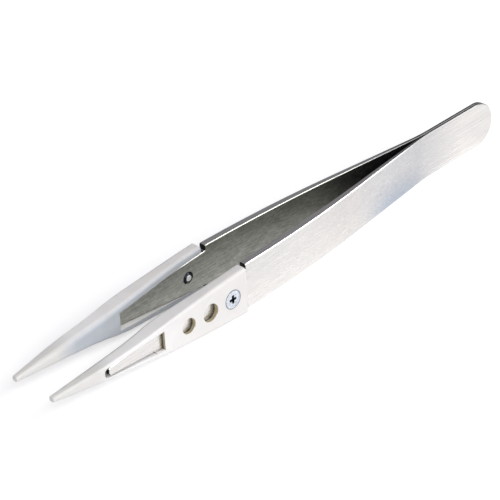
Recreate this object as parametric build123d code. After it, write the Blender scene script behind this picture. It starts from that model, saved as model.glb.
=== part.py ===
from build123d import *
import math
import os

# Tweezers for clean rooms. Two sprung steel arms lie flat together at the tail, where
# they are spot-welded. Each arm narrows at a shoulder to a tongue. A moulded plastic tip
# is slid on the tongue and is held by one countersunk screw.
# They lie on their long edges. X runs from the points to the tail, Y across the opening
# and Z up. The origin is on the table, under the middle of the length.

# Overall size and the opening
overall_length = 130.0
arm_gap = 9.2
point_gap = 8.7
splay_angle = 1.0

# Steel strip
strip_height = 10.0
front_thickness = 1.6
tail_thickness = 0.65
weld_length = 22.0
bend_run = 2.5
straight_leg = 21.6
front_flat = 1.5
deburr = 0.12

# Shoulder and tongue
shoulder_gap = 0.9
shoulder_step = 1.2
shoulder_round = 0.35
corner_relief = 0.25
tongue_end_height = 1.7
tongue_round = 0.7
tongue_end_gap = 0.95

# Lengths along the plastic tip, from its rear end to its point
screw_edge = 4.0
first_hole_pitch = 6.0
second_hole_pitch = 5.8
slot_land = 6.3
slot_length = 14.8
neck_land = 0.6
point_length = 11.0

# Walls and clearances of the plastic tip
cover_wall = 1.2
bridge_wall = 1.35
rear_proud = 0.15
rear_bevel = 0.2
point_bevel = 0.12
fit_gap = 0.1
slot_gap = 0.2
seat_land = 2.0
channel_lead = 0.9
first_hole_diameter = 3.7
second_hole_diameter = 3.2
rim_chamfer = 0.12

# Outline of the plastic tip: places from its rear end or its kink, and full heights
cheek_run = 7.5
cheek_height = 9.36
kink_height = 6.7
waist_run = 6.0
waist_height = 4.72
ease_run = 2.0
neck_height = 3.1
neck_drop = 0.54
point_height = 1.1
point_thickness = 1.3
long_round = 0.8
nose_round = 1.2
point_corner = 0.45

# Screw
thread_diameter = 2.0
thread_gap = 0.05
hole_chamfer = 0.22
screw_length = 3.0
head_diameter = 4.0
head_rim = 0.08
shank_gap = 0.1
end_chamfer = 0.4
recess_width = 0.6
recess_diameter = 1.9
recess_depth = 0.9
recess_floor = 0.7

# Places along the length
tail_x = overall_length / 2
point_x = -overall_length / 2
neck_x = point_x + point_length
slot_front_x = neck_x + neck_land
kink_x = slot_front_x + slot_length
second_hole_x = kink_x + slot_land
first_hole_x = second_hole_x + second_hole_pitch
screw_x = first_hole_x + first_hole_pitch
rear_x = screw_x + screw_edge
shoulder_x = rear_x + shoulder_gap
tongue_x = slot_front_x + tongue_end_gap
bend_x = tail_x - weld_length
bow_back_x = bend_x - bend_run - straight_leg
bow_front_x = shoulder_x + front_flat
bow_x = (bow_back_x + bow_front_x) / 2
bow_run = (bow_back_x - bow_front_x) / 2
mid_z = strip_height / 2 + rear_proud

# Heights of the tongue
tongue_root_height = strip_height - 2 * shoulder_step
tongue_length = shoulder_x - tongue_x
tongue_taper = (tongue_root_height - tongue_end_height) / tongue_length


def inner_line(x):
    # Inner face of an arm in front of its bow, which leans out toward the points
    return arm_gap / 2 + (shoulder_x - x) * math.tan(math.radians(splay_angle))


def outer_line(x):
    return inner_line(x) + front_thickness


def tongue_height(x):
    return tongue_end_height + (x - tongue_x) * tongue_taper


cover_y = outer_line(rear_x) + cover_wall


def turned_radius(before, corner, after, run):
    # Radius whose rounding of the corner starts and ends one run away from it
    first = math.atan2(corner[1] - before[1], corner[0] - before[0])
    second = math.atan2(after[1] - corner[1], after[0] - corner[0])
    turn = abs(math.remainder(second - first, 2 * math.pi))
    return run / math.tan(turn / 2)


def face_curve(tail_y, front_line):
    # One face of the strip seen from above: flat weld, bend, sprung leg, bow, front
    far_x = tongue_x - strip_height
    points = [
        (tail_x, tail_y),
        (bend_x, tail_y),
        (bow_x, front_line(bow_x)),
        (far_x, front_line(far_x)),
    ]
    bend_radius = turned_radius(points[0], points[1], points[2], bend_run)
    bow_radius = turned_radius(points[1], points[2], points[3], bow_run)
    return FilletPolyline(*points, radius=[bend_radius, bow_radius])


def strip_plan():
    # The strip seen from above, thinner toward the tail
    outer = face_curve(tail_thickness, outer_line)
    inner = face_curve(0, inner_line)
    front_end = Line(outer @ 1, inner @ 1)
    tail_end = Line(outer @ 0, inner @ 0)
    return make_face(outer.edges() + inner.edges() + [front_end, tail_end])


def arm_side():
    # The strip seen from the side: round tail, shoulder and tapered tongue
    half = strip_height / 2
    root_half = tongue_root_height / 2
    end_half = tongue_end_height / 2
    arc_x = tail_x - half
    tail = ThreePointArc((arc_x, half), (tail_x, 0), (arc_x, -half))
    front = FilletPolyline(
        (arc_x, half),
        (shoulder_x, half),
        (shoulder_x, root_half),
        (tongue_x, end_half),
        (tongue_x, -end_half),
        (shoulder_x, -root_half),
        (shoulder_x, -half),
        (arc_x, -half),
        radius=[shoulder_round, corner_relief, tongue_round, tongue_round, corner_relief, shoulder_round],
    )
    return make_face(front.edges() + [tail])


def upright(face, width):
    # A face drawn in length and height, made a solid that runs across the opening
    return extrude(Plane.XZ * face, width / 2, both=True)


def turned(x, radii_and_places):
    # A turned solid whose axis runs across the opening, from pairs of radius and place
    corners = [(x, radii_and_places[0][1])]
    for radius, place in radii_and_places:
        corners.append((x + radius, place))
    corners.append((x, radii_and_places[-1][1]))
    axis = Axis((x, 0, 0), (0, 1, 0))
    return revolve(make_face(Polyline(*corners, close=True)), axis, 360)


def arm():
    # Strip steel bent to the plan and cut to the side outline, its edges deburred
    body = extrude(strip_plan(), strip_height, both=True)
    body = body & upright(arm_side(), 4 * cover_y)
    outline = []
    for edge in body.edges():
        way = edge % 0.5
        bend_line = abs(way.Z) > 0.99 and edge.length > tongue_root_height
        if abs(way.Y) < 0.9 and not bend_line:
            outline.append(edge)
    body = chamfer(outline, deburr)
    # Tapped hole, opened out on the inner face
    hole_radius = thread_diameter / 2 + thread_gap
    inside_y = inner_line(screw_x)
    mouth_y = inside_y + hole_chamfer
    below_y = inside_y - hole_chamfer
    hole = turned(
        screw_x,
        [
            (hole_radius + 2 * hole_chamfer, below_y),
            (hole_radius, mouth_y),
            (hole_radius, cover_y),
        ],
    )
    return body - hole


def station(x, height, outer_y, inner_y, outer_round, inner_round):
    # One rounded section of the tip, square to its length
    place = Plane(origin=(x, (outer_y + inner_y) / 2, 0), x_dir=(0, 1, 0), z_dir=(1, 0, 0))
    section = Rectangle(outer_y - inner_y, height)
    section = fillet(section.vertices().group_by(Axis.X)[-1], outer_round)
    section = fillet(section.vertices().group_by(Axis.X)[0], inner_round)
    return place * section


def nose_inner(x):
    # Inner face of the nose: a wall of even thickness under the tongue
    return inner_line(x) - bridge_wall


def along(points, x):
    # Value at x on a line through points, which are listed from the rear to the front
    for back, front in zip(points, points[1:]):
        if x >= front[0]:
            break
    slope = (front[1] - back[1]) / (front[0] - back[0])
    return back[1] + (x - back[0]) * slope


def tip_body():
    # Moulded outside of the tip: flat outside as far as the kink, waisted above, below
    # and inside, then a slim point, with two sections at each change of slope
    rim_x = rear_x - rear_bevel
    cheek_x = rear_x - cheek_run
    waist_x = kink_x - waist_run
    rear_height = strip_height + 2 * rear_proud
    inside_y = inner_line(rear_x)
    heights = [
        (rim_x, rear_height),
        (cheek_x, cheek_height),
        (kink_x, kink_height),
        (waist_x, waist_height),
        (neck_x, neck_height),
        (point_x, point_height),
    ]
    outer = [
        (rim_x, cover_y),
        (kink_x, cover_y),
        (neck_x, cover_y - neck_drop),
        (point_x, point_gap / 2 + point_thickness),
    ]
    inner = [
        (rim_x, inside_y),
        (cheek_x, inside_y),
        (kink_x, nose_inner(kink_x)),
        (neck_x, nose_inner(neck_x)),
        (point_x, point_gap / 2),
    ]
    # The outer long edges sharpen toward the slot, which leaves a flat margin round it
    outer_rounds = [
        (rim_x, long_round),
        (cheek_x, long_round),
        (kink_x, point_corner),
        (point_x, point_corner),
    ]
    inner_rounds = [
        (rim_x, long_round),
        (kink_x, long_round),
        (waist_x, nose_round),
        (neck_x, nose_round),
        (point_x, point_corner),
    ]
    places = [rim_x]
    for x in (cheek_x, kink_x, waist_x, neck_x):
        places += [x + ease_run, x - ease_run]
    # The rear end starts smaller all round, which bevels its rim
    end_height = rear_height - 2 * rear_bevel
    corner = long_round - rear_bevel
    sections = [station(rear_x, end_height, cover_y - rear_bevel, inside_y + rear_bevel, corner, corner)]
    for x in places:
        faces = [along(outer, x), along(inner, x)]
        rounds = [along(outer_rounds, x), along(inner_rounds, x)]
        sections.append(station(x, along(heights, x), *faces, *rounds))
    # The end of the point is bevelled too
    inside_y = point_gap / 2
    outside_y = inside_y + point_thickness
    before_x = point_x + point_bevel
    sections.append(station(before_x, point_height, outside_y, inside_y, point_corner, point_corner))
    end_height = point_height - 2 * point_bevel
    inside_y += point_bevel
    outside_y -= point_bevel
    corner = point_corner - point_bevel
    sections.append(station(point_x, end_height, outside_y, inside_y, corner, corner))
    return loft(sections, ruled=True)


def taper(front_x, back_x, gap):
    # Side outline that follows the tongue's edges, with a gap above and below
    front_half = tongue_height(front_x) / 2 + gap
    back_half = tongue_height(back_x) / 2 + gap
    corners = [
        (front_x, front_half),
        (back_x, back_half),
        (back_x, -back_half),
        (front_x, -front_half),
    ]
    return make_face(Polyline(*corners, close=True))


def beside_line(line, side_y):
    # Everything between one face of the tongue and a place across, seen from above
    corners = [
        (point_x, line(point_x)),
        (tail_x, line(tail_x)),
        (tail_x, side_y),
        (point_x, side_y),
    ]
    return extrude(make_face(Polyline(*corners, close=True)), strip_height, both=True)


def tongue_channel():
    # Rear half of the pocket, open to the inside: the tongue lies on its floor. Its front
    # end laps the slot a little, and there the tongue passes from one side to the other
    outline = taper(kink_x - channel_lead, rear_x + shoulder_gap, fit_gap)
    return upright(outline, 4 * cover_y) & beside_line(outer_line, -cover_y)


def tongue_slot():
    # Front half of the pocket, open to the outside, with the tongue on its floor
    land_x = kink_x - seat_land
    land = taper(land_x, kink_x, fit_gap)
    slot = taper(slot_front_x, land_x, slot_gap)
    end_half = tongue_height(slot_front_x) / 2 + slot_gap
    slot = fillet(slot.vertices().group_by(Axis.X)[0], end_half * 0.9)
    return upright(slot + land, 4 * cover_y) & beside_line(inner_line, 2 * cover_y)


def wall_hole(x, diameter):
    # Round window in the outer wall, down to the steel, its rim broken
    radius = diameter / 2
    hole = turned(
        x,
        [
            (radius, inner_line(x)),
            (radius, cover_y - rim_chamfer),
            (radius + rim_chamfer, cover_y),
            (radius + rim_chamfer, cover_y + rim_chamfer),
        ],
    )
    return hole & beside_line(outer_line, 2 * cover_y)


def tip():
    body = tip_body()
    body = body - tongue_channel() - tongue_slot()
    body = body - wall_hole(first_hole_x, first_hole_diameter)
    body = body - wall_hole(second_hole_x, second_hole_diameter)
    # Countersunk hole for the screw
    shank_radius = thread_diameter / 2 + shank_gap
    head_radius = head_diameter / 2 + fit_gap / 2
    cone_top_y = cover_y - head_rim
    cone_end_y = cone_top_y - (head_radius - shank_radius)
    countersink = turned(
        screw_x,
        [
            (shank_radius, inner_line(screw_x)),
            (shank_radius, cone_end_y),
            (head_radius, cone_top_y),
            (head_radius, cover_y + head_rim),
        ],
    )
    return body - countersink


def screw():
    # Countersunk screw with a cross recess, its end chamfered
    radius = thread_diameter / 2
    head_radius = head_diameter / 2
    end_y = cover_y - screw_length
    cone_top_y = cover_y - head_rim
    cone_end_y = cone_top_y - (head_radius - radius)
    body = turned(
        screw_x,
        [
            (radius - end_chamfer, end_y),
            (radius, end_y + end_chamfer),
            (radius, cone_end_y),
            (head_radius, cone_top_y),
            (head_radius, cover_y),
        ],
    )
    # The recess is a cross that tapers to its floor
    cross = Rectangle(recess_diameter, recess_width) + Rectangle(recess_width, recess_diameter)
    cross = upright(Pos(screw_x, 0) * cross, 4 * cover_y)
    cone = turned(
        screw_x,
        [
            (recess_floor / 2, cover_y - recess_depth),
            (recess_diameter / 2, cover_y),
            (recess_diameter / 2, cover_y + head_rim),
        ],
    )
    return body - (cross & cone)


os.makedirs("parts", exist_ok=True)
for name, right_piece in {"arm": arm(), "tip": tip(), "screw": screw()}.items():
    left_piece = mirror(right_piece, about=Plane.XZ)
    export_step(Pos(0, 0, mid_z) * right_piece, f"parts/right_{name}.step")
    export_step(Pos(0, 0, mid_z) * left_piece, f"parts/left_{name}.step")
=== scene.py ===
import math

import bpy
from mathutils import Matrix, Vector


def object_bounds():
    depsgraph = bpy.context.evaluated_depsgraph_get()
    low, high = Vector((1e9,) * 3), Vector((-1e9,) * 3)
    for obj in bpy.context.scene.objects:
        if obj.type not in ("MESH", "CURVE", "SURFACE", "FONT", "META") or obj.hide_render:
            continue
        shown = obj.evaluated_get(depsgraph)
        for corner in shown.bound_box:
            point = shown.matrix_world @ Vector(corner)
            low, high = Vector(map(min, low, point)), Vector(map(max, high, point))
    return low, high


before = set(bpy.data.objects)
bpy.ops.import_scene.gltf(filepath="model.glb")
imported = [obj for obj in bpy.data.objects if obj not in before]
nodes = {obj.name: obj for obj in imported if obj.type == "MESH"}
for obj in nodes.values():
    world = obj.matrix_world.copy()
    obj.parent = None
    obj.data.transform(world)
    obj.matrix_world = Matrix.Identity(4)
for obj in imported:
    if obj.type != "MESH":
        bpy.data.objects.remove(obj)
cad_low, cad_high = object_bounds()
scene = bpy.context.scene

# Camera: the tweezers lie on their long edges and are seen from the front left, a little
# from above, through a long lens. It is aimed close to the middle of the strip.
middle_z = (cad_low[2] + cad_high[2]) / 2
strip_middle = Vector((0, 0, middle_z))
turn = math.radians(-44.30)
height_angle = math.radians(31.88)
roll = math.radians(-3.48)
offset = Vector((-0.005645, -0.001510, 0.4967))
camera_data = bpy.data.cameras.new("camera")
camera_data.sensor_width = 36
camera_data.lens = 182.2
camera_data.clip_start = 0.01
camera_data.clip_end = 20
camera = bpy.data.objects.new("camera", camera_data)
scene.collection.objects.link(camera)
aim = Matrix.Rotation(turn, 4, "Z") @ Matrix.Rotation(math.pi / 2 - height_angle, 4, "X")
aim = aim @ Matrix.Rotation(roll, 4, "Z")
camera.matrix_world = Matrix.Translation(strip_middle) @ aim @ Matrix.Translation(offset)
scene.camera = camera
scene.view_settings.view_transform = "Standard"

# Floor: a sheet of white board under the tweezers. It glows only toward the camera and in
# the steel, so that it shows white there, and its matt side keeps the tweezers' shadow.
floor_size = 3.0
board_white = (0.85, 0.85, 0.85)
board_glow = 0.42


class Finish:
    # A material, with short ways to add the nodes that work out its colours

    def __init__(self, name):
        self.material = bpy.data.materials.new(name)
        self.material.use_nodes = True
        self.nodes = self.material.node_tree.nodes
        self.links = self.material.node_tree.links

    def node(self, kind, **settings):
        made = self.nodes.new("ShaderNode" + kind)
        for name, value in settings.items():
            setattr(made, name, value)
        return made

    def feed(self, socket, value):
        # A number or a colour is set on the socket, and a node's output is linked to it
        if isinstance(value, bpy.types.NodeSocket):
            self.links.new(value, socket)
        elif socket.type == "RGBA":
            socket.default_value = (*value, 1)
        else:
            socket.default_value = value

    def math(self, operation, *parts):
        made = self.node("Math", operation=operation)
        for socket, part in zip(made.inputs, parts):
            self.feed(socket, part)
        return made.outputs[0]


bpy.ops.mesh.primitive_plane_add(size=floor_size, location=(0, 0, 0))
floor = bpy.context.object
floor.name = "floor"
board = Finish("white_board")
board.nodes.clear()
rays = board.node("LightPath").outputs
seen = board.math("MAXIMUM", rays["Is Camera Ray"], rays["Is Glossy Ray"])
seen = board.math("MAXIMUM", seen, rays["Is Transmission Ray"])
glow = board.node("Emission")
board.feed(glow.inputs["Strength"], board.math("MULTIPLY", seen, board_glow))
matt = board.node("BsdfDiffuse")
board.feed(matt.inputs["Color"], board_white)
both = board.node("AddShader")
board.feed(both.inputs[0], glow.outputs[0])
board.feed(both.inputs[1], matt.outputs[0])
board.feed(board.node("OutputMaterial").inputs["Surface"], both.outputs[0])
floor.data.materials.append(board.material)

# Studio: a grey room, and two large soft lamps that stand in front of the tweezers, one to
# the right and one to the left.
room_grey = (0.27, 0.265, 0.285)
world = bpy.data.worlds.new("room")
world.use_nodes = True
world.node_tree.nodes["Background"].inputs["Color"].default_value = (*room_grey, 1)
scene.world = world


def soft_lamp(name, place, size, power):
    # A square soft lamp, turned toward the tweezers
    data = bpy.data.lights.new(name, "AREA")
    data.shape = "SQUARE"
    data.size = size
    data.energy = power
    lamp = bpy.data.objects.new(name, data)
    scene.collection.objects.link(lamp)
    lamp.location = place
    lamp.rotation_euler = (-Vector(place)).to_track_quat("-Z", "Y").to_euler()


soft_lamp("right_lamp", (0.53, -0.48, 0.50), 0.5, 4.4)
soft_lamp("left_lamp", (-0.45, -0.60, 0.44), 0.6, 4.2)


# Arms: two strips of stainless spring steel, brushed lengthwise, bent, and ground thinner
# toward the tail, where they are spot-welded face to face. Their inner faces keep a coarse grey
# grain and are painted darker as shade between the strips, the front-facing ends, the tongue's
# lower edge and the tapped hole's mouth are painted nearly black as shade, and the bend is
# painted duller as shade, with a painted bluish reflection low on it.
class Skin(Finish):
    # The finish of a piece of the tweezers, which changes from place to place on it

    def __init__(self, name):
        super().__init__(name)
        self.shader = self.nodes["Principled BSDF"]
        self.place = self.node("TexCoord").outputs["Object"]
        self.x, self.y, self.z = self.split(self.place)
        self.turned_x, self.turned_y, self.turned_z = self.split(self.node("NewGeometry").outputs["Normal"])
        self.depth = self.math("ABSOLUTE", self.y)
        # 1 where the surface faces away from the other half, and -1 where it faces it
        self.outward = self.math("MULTIPLY", self.math("SIGN", self.y), self.turned_y)

    def split(self, vector):
        made = self.node("SeparateXYZ")
        self.feed(made.inputs[0], vector)
        return made.outputs[0], made.outputs[1], made.outputs[2]

    def noise(self, scale, detail):
        # Irregular pattern, drawn out along an axis whose scale is small
        drawn = self.node("Mapping")
        self.feed(drawn.inputs["Vector"], self.place)
        self.feed(drawn.inputs["Scale"], scale)
        made = self.node("TexNoise")
        self.feed(made.inputs["Vector"], drawn.outputs["Vector"])
        for name, value in (("Scale", 1.0), ("Detail", detail), ("Roughness", 0.6)):
            self.feed(made.inputs[name], value)
        return made.outputs["Fac"]

    def spread(self, value, low, high, out_low=0, out_high=1):
        # One range of values turned into another, and held at its ends
        made = self.node("MapRange")
        self.feed(made.inputs["Value"], value)
        ends = {"From Min": low, "From Max": high, "To Min": out_low, "To Max": out_high}
        for name, end in ends.items():
            self.feed(made.inputs[name], end)
        return made.outputs["Result"]

    def ramp(self, value, *stops):
        # Colours laid along a value, from pairs of value and colour
        low = stops[0][0]
        high = stops[-1][0]
        made = self.node("ValToRGB")
        self.feed(made.inputs["Fac"], self.spread(value, low, high))
        colours = made.color_ramp.elements
        colours[0].color = (*stops[0][1], 1)
        colours[1].color = (*stops[-1][1], 1)
        for place, colour in stops[1:-1]:
            colours.new((place - low) / (high - low)).color = (*colour, 1)
        return made.outputs["Color"]

    def blend(self, amount, first, second, kind="MIX"):
        # The second colour laid over the first. The node has colours in sockets 6 and 7.
        made = self.node("Mix", data_type="RGBA", blend_type=kind)
        for socket, value in ((0, amount), (6, first), (7, second)):
            self.feed(made.inputs[socket], value)
        return made.outputs[2]

    def tint(self, colour, by, amount=1.0):
        return self.blend(amount, colour, by, "MULTIPLY")

    def off_axis(self, x):
        # Distance from an axis across the tweezers, halfway up the strip
        run = self.math("SUBTRACT", self.x, x)
        rise = self.math("SUBTRACT", self.z, middle_z)
        square = self.math("ADD", self.math("MULTIPLY", run, run), self.math("MULTIPLY", rise, rise))
        return self.math("SQRT", square)

    def bump(self, height, strength, depth):
        made = self.node("Bump")
        for name, value in (("Height", height), ("Strength", strength), ("Distance", depth)):
            self.feed(made.inputs[name], value)
        return made.outputs["Normal"]

    def wear(self, names, **sockets):
        # What was worked out goes to the shader, and the named solids wear it
        for name, value in sockets.items():
            self.feed(self.shader.inputs[name.replace("_", " ")], value)
        for name in names:
            nodes[name].data.materials.clear()
            nodes[name].data.materials.append(self.material)


def reach(name, axis):
    # Lowest and highest place of a solid along one axis
    places = [corner[axis] for corner in nodes[name].bound_box]
    return min(places), max(places)


point_x, rear_x = reach("left_tip", 0)
shoulder_gap = 0.0009
shoulder_x = rear_x + shoulder_gap
screw_edge = 0.0040
screw_x = rear_x - screw_edge
tapped_mouth_radius = 0.00129
mostly_facing = 0.6
edge_facing = 0.3
tail_edge_from_x = 0.030
tail_edge_to_x = 0.042
untinted = (1, 1, 1)
# Painted shade: near black for the front ends, the tongue's lower edge and the tapped mouth, dark for the
# tail's upper edge
shade_black = (0.03, 0.03, 0.03)
tail_edge_dark = (0.06, 0.06, 0.06)
steel = Skin("brushed_strip")
brushed = steel.noise((90, 7000, 7000), 4)

# Outer face: bright lines and broad streaks, painted duller toward the weld as shade on the bend
outer_face = steel.ramp(brushed, (0.3, (0.66, 0.655, 0.65)), (0.7, (0.82, 0.81, 0.79)))
streaks = steel.ramp(steel.noise((25, 1300, 1300), 2), (0.35, (0.88, 0.88, 0.89)), (0.65, untinted))
outer_face = steel.tint(outer_face, streaks, 0.35)
painted_bend_shade = steel.ramp(
    steel.x,
    (0.0, (0.97, 0.96, 0.95)),
    (0.01625, (0.89, 0.87, 0.86)),
    (0.02925, (0.80, 0.80, 0.82)),
    (0.0403, (0.73, 0.73, 0.75)),
    (0.05525, (1, 0.985, 0.97)),
)
outer_face = steel.tint(outer_face, painted_bend_shade)

# The lower half of its bend is painted faintly blue, a painted reflection, most in the middle
reflection_from_x = 0.022
reflection_to_x = 0.044
reflection_low_z = 0.001
reflection_high_z = 0.0065
reflected_blue = (0.70, 0.77, 0.86)
along_bend = steel.spread(steel.x, reflection_from_x, reflection_to_x, -1, 1)
lower = steel.spread(steel.z, reflection_low_z, reflection_high_z, 1, 0)
blue_reflection = steel.math("SUBTRACT", 1.0, steel.math("MULTIPLY", along_bend, along_bend))
blue_reflection = steel.math("MULTIPLY", blue_reflection, lower)
outer_face = steel.blend(blue_reflection, outer_face, steel.tint(outer_face, reflected_blue))

# Inner face: the same lines under a coarse grain, painted darker than the outer face as shade, and darkest
# where the strips meet, painted shade between them
inner_face = steel.ramp(brushed, (0.3, (0.36, 0.365, 0.345)), (0.7, (0.72, 0.725, 0.69)))
clouds = steel.ramp(steel.noise((260, 420, 420), 3), (0.35, (0.72, 0.73, 0.70)), (0.65, untinted))
inner_face = steel.tint(inner_face, clouds, 0.7)
grains = steel.ramp(steel.noise((1300, 1300, 2600), 3), (0.35, (0.66, 0.66, 0.64)), (0.65, untinted))
inner_face = steel.tint(inner_face, grains, 0.8)
shaded = steel.ramp(
    steel.x,
    (-0.045, (0.85, 0.85, 0.82)),
    (-0.01125, (1, 1, 0.98)),
    (0.015, (1, 1, 0.98)),
    (0.03, (0.4, 0.4, 0.42)),
)
inner_face = steel.tint(inner_face, shaded)
inner = steel.math("LESS_THAN", steel.outward, -mostly_facing)
surface = steel.blend(inner, outer_face, inner_face)

# The tail's upper edge is painted dark as shade. The front ends, the tongue's lower edge and the
# mouth of the tapped hole are painted nearly black as shade.
upper_edge = steel.math("GREATER_THAN", steel.turned_z, edge_facing)
toward_tail = steel.spread(steel.x, tail_edge_from_x, tail_edge_to_x, 0, 0.8)
tail_edge = steel.math("MULTIPLY", upper_edge, toward_tail)
surface = steel.blend(tail_edge, surface, tail_edge_dark)
front_end = steel.math("LESS_THAN", steel.turned_x, -mostly_facing)
lower_edge = steel.math("LESS_THAN", steel.turned_z, -edge_facing)
tongue_edge = steel.math("MULTIPLY", lower_edge, steel.math("LESS_THAN", steel.x, shoulder_x))
tapped_mouth = steel.math("LESS_THAN", steel.off_axis(screw_x), tapped_mouth_radius)
painted_black_shade = steel.math("MAXIMUM", front_end, steel.math("MAXIMUM", tongue_edge, tapped_mouth))
surface = steel.blend(painted_black_shade, surface, shade_black)
roughness = steel.spread(brushed, 0.3, 0.7, 0.2, 0.32)
roughness = steel.math("ADD", roughness, steel.math("MULTIPLY", inner, 0.08))
steel.wear(
    ("left_arm", "right_arm"),
    Metallic=1.0,
    Base_Color=surface,
    Roughness=roughness,
    Normal=steel.bump(brushed, 0.09, 0.00002),
)

# Tips: moulded in a hard white plastic with a fine matt skin, and slid on the tongues. The
# walls of their windows are painted tan as shade, and darker shade where they meet the steel. The
# slim points let some light through, and the inner faces are painted cooler and greyer as shade.
splay_slope = math.tan(math.radians(1))
steel_face_y = 0.0062
first_window_x = screw_x - 0.0060
second_window_x = first_window_x - 0.0058
windows = ((first_window_x, 0.00190), (second_window_x, 0.00165))
slot_x = point_x + 0.015
rear_shade_from_x = rear_x - 0.0285
rear_shade_to_x = rear_x - 0.0115
clear_point_x = point_x + 0.0095
white_nose_x = point_x + 0.0145
# Painted shade for the walls of the slot and windows: near black at the steel, tan further out
base_shade_black = (0.02, 0.018, 0.012)
wall_shade_tan = (0.38, 0.33, 0.21)
plastic = Skin("moulded_plastic")
white = plastic.ramp(plastic.noise((300, 300, 300), 3), (0.3, (0.84, 0.83, 0.82)), (0.7, (0.89, 0.88, 0.87)))
toward_rear = plastic.spread(plastic.x, rear_shade_from_x, rear_shade_to_x)
white = plastic.blend(toward_rear, white, plastic.tint(white, (0.88, 0.87, 0.86)))
toward_point = plastic.spread(plastic.x, clear_point_x, white_nose_x, 1, 0)
white = plastic.blend(plastic.math("MULTIPLY", toward_point, 0.8), white, (0.87, 0.855, 0.82))
# The inner faces, away from the points, are painted cooler and greyer: painted shade from the other half
inner = plastic.spread(plastic.outward, -0.9, -0.2, 1, 0)
inner = plastic.math("MULTIPLY", inner, plastic.math("SUBTRACT", 1.0, toward_point))
white = plastic.blend(inner, white, plastic.tint(white, (0.59, 0.635, 0.69)))

# Walls of the slot and the windows, painted as shade from the steel outward: near black at the steel, then
# tan
above_steel = plastic.math("ADD", plastic.depth, plastic.math("MULTIPLY", plastic.x, splay_slope))
above_steel = plastic.math("SUBTRACT", above_steel, steel_face_y + shoulder_x * splay_slope)
wall = plastic.ramp(above_steel, (0.00015, base_shade_black), (0.00035, wall_shade_tan))
slot_end = plastic.math("LESS_THAN", plastic.turned_x, -mostly_facing)
walls = plastic.math("MULTIPLY", slot_end, plastic.math("GREATER_THAN", plastic.x, slot_x))
for window_x, radius in windows:
    window = plastic.math("LESS_THAN", plastic.off_axis(window_x), radius)
    walls = plastic.math("MAXIMUM", walls, window)
plastic.wear(
    ("left_tip", "right_tip"),
    Base_Color=plastic.blend(walls, white, wall),
    Roughness=0.42,
    Subsurface_Weight=0.15,
    Subsurface_Radius=(0.0012, 0.0010, 0.0008),
    Subsurface_Scale=1.0,
    Transmission_Weight=plastic.math("MULTIPLY", toward_point, 0.22),
    Normal=plastic.bump(plastic.noise((2500, 2500, 2500), 2), 0.08, 0.00003),
)

# Screws: two M2 countersunk screws of zinc-plated steel, one through each tip into the
# tapped tongue. The flat of the head is mottled and its rim is dark, the cross recess and the
# sides below the head are painted black as shade, and the end that shows in the tongue is
# painted bright as a highlight.
head_y, end_y = reach("left_screw", 1)
flat_skin = 0.000036
rim_radius = 0.00184
rim_grey = (0.34, 0.38, 0.44)
# Painted highlight for the screw's end, and painted black shade for the recess and the sides below the head
end_highlight = (0.92, 0.92, 0.87)
recess_black = (0.03, 0.035, 0.045)
plated = Skin("screw_steel")
mottle = plated.noise((2600, 2600, 2600), 3)
zinc = plated.ramp(mottle, (0.35, (0.42, 0.47, 0.53)), (0.65, (0.82, 0.84, 0.88)))
past_end = plated.math("GREATER_THAN", plated.depth, flat_skin - end_y)
below_head = plated.math("LESS_THAN", plated.depth, -head_y - flat_skin)
end_flat = plated.math("SUBTRACT", 1.0, past_end)
# The end's flat is painted bright: a painted highlight
zinc = plated.blend(plated.math("MULTIPLY", end_flat, 0.7), zinc, end_highlight)
rim = plated.math("GREATER_THAN", plated.off_axis(screw_x), rim_radius)
zinc = plated.blend(rim, zinc, plated.tint(zinc, rim_grey))
# Everything between the head's flat and the end's flat, the cross recess and the threaded sides, is painted
# black as shade
sunk = plated.math("MULTIPLY", past_end, below_head)
plated.wear(
    ("left_screw", "right_screw"),
    Metallic=1.0,
    Base_Color=plated.blend(sunk, zinc, recess_black),
    Roughness=plated.spread(mottle, 0.3, 0.7, 0.45, 0.28),
    Normal=plated.bump(mottle, 0.2, 0.00002),
)
